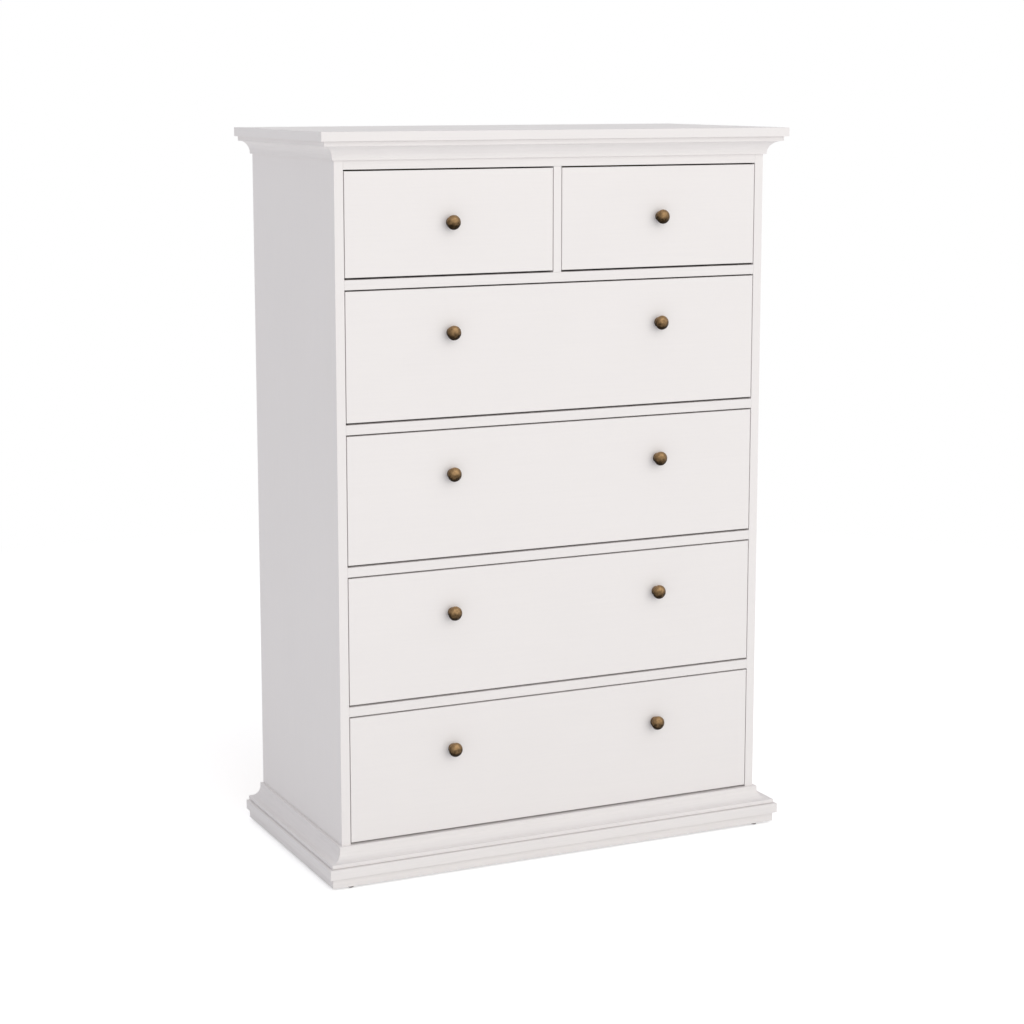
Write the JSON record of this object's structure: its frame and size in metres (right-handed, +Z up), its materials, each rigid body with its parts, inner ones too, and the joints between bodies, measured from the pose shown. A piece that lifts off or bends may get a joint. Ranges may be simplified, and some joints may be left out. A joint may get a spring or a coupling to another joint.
{
  "type": "semainier",
  "caption": "Tall white chest: short inset drawers side by side above full-width ones, round aged brass knobs, flat top over a coved cornice, coved plinth.",
  "frame": {"origin": "on the floor, under the middle of the chest", "axes": "+Z up, +X to the viewer's right when facing the drawers, +Y from the drawer fronts towards the back"},
  "size_m": [0.961, 0.48, 1.393],
  "materials": {
    "white_foil": "board wrapped in satin white foil with a faint grain",
    "box_foil": "thin board wrapped in pale foil",
    "raw_hardboard": "raw hardboard, smooth brown",
    "pale_plastic": "moulded, satin",
    "grey_plastic": "moulded, matt grey",
    "aged_brass": "aged, softly hammered, browned in the hollows"
  },
  "bodies": {
    "case": {"side_panel_left": "white_foil", "side_panel_right": "white_foil", "top_board": "white_foil", "bottom_board": "white_foil", "top_rail": "white_foil", "drawer_rail_1": "white_foil", "drawer_rail_2": "white_foil", "drawer_rail_3": "white_foil", "drawer_rail_4": "white_foil", "centre_partition": "white_foil", "back_panel": "raw_hardboard", "cornice_moulding_front": "white_foil", "cornice_moulding_left": "white_foil", "cornice_moulding_right": "white_foil", "plinth_moulding_front": "white_foil", "plinth_moulding_left": "white_foil", "plinth_moulding_right": "white_foil", "glide_front_left": "grey_plastic", "glide_front_right": "grey_plastic", "glide_rear_left": "grey_plastic", "glide_rear_right": "grey_plastic", "short_runner_left": "pale_plastic", "short_runner_right": "pale_plastic", "long_runner_1_left": "pale_plastic", "long_runner_1_right": "pale_plastic", "long_runner_2_left": "pale_plastic", "long_runner_2_right": "pale_plastic", "long_runner_3_left": "pale_plastic", "long_runner_3_right": "pale_plastic", "long_runner_4_left": "pale_plastic", "long_runner_4_right": "pale_plastic"},
    "short_drawer_left": {"short_drawer_left_front": "white_foil", "short_drawer_left_box": "box_foil", "short_drawer_left_bottom": "box_foil", "short_drawer_left_knob": "aged_brass"},
    "short_drawer_right": {"short_drawer_right_front": "white_foil", "short_drawer_right_box": "box_foil", "short_drawer_right_bottom": "box_foil", "short_drawer_right_knob": "aged_brass"},
    "long_drawer_1": {"long_drawer_1_front": "white_foil", "long_drawer_1_box": "box_foil", "long_drawer_1_bottom": "box_foil", "long_drawer_1_knob_left": "aged_brass", "long_drawer_1_knob_right": "aged_brass"},
    "long_drawer_2": {"long_drawer_2_front": "white_foil", "long_drawer_2_box": "box_foil", "long_drawer_2_bottom": "box_foil", "long_drawer_2_knob_left": "aged_brass", "long_drawer_2_knob_right": "aged_brass"},
    "long_drawer_3": {"long_drawer_3_front": "white_foil", "long_drawer_3_box": "box_foil", "long_drawer_3_bottom": "box_foil", "long_drawer_3_knob_left": "aged_brass", "long_drawer_3_knob_right": "aged_brass"},
    "long_drawer_4": {"long_drawer_4_front": "white_foil", "long_drawer_4_box": "box_foil", "long_drawer_4_bottom": "box_foil", "long_drawer_4_knob_left": "aged_brass", "long_drawer_4_knob_right": "aged_brass"}
  },
  "joints": [
    {"name": "short_drawer_left_slide", "type": "slide", "parent": "case", "child": "short_drawer_left", "axis": [0, -1, 0], "range_m": [0, 0.33]},
    {"name": "short_drawer_right_slide", "type": "slide", "parent": "case", "child": "short_drawer_right", "axis": [0, -1, 0], "range_m": [0, 0.33]},
    {"name": "long_drawer_1_slide", "type": "slide", "parent": "case", "child": "long_drawer_1", "axis": [0, -1, 0], "range_m": [0, 0.33]},
    {"name": "long_drawer_2_slide", "type": "slide", "parent": "case", "child": "long_drawer_2", "axis": [0, -1, 0], "range_m": [0, 0.33]},
    {"name": "long_drawer_3_slide", "type": "slide", "parent": "case", "child": "long_drawer_3", "axis": [0, -1, 0], "range_m": [0, 0.33]},
    {"name": "long_drawer_4_slide", "type": "slide", "parent": "case", "child": "long_drawer_4", "axis": [0, -1, 0], "range_m": [0, 0.33]}
  ]
}
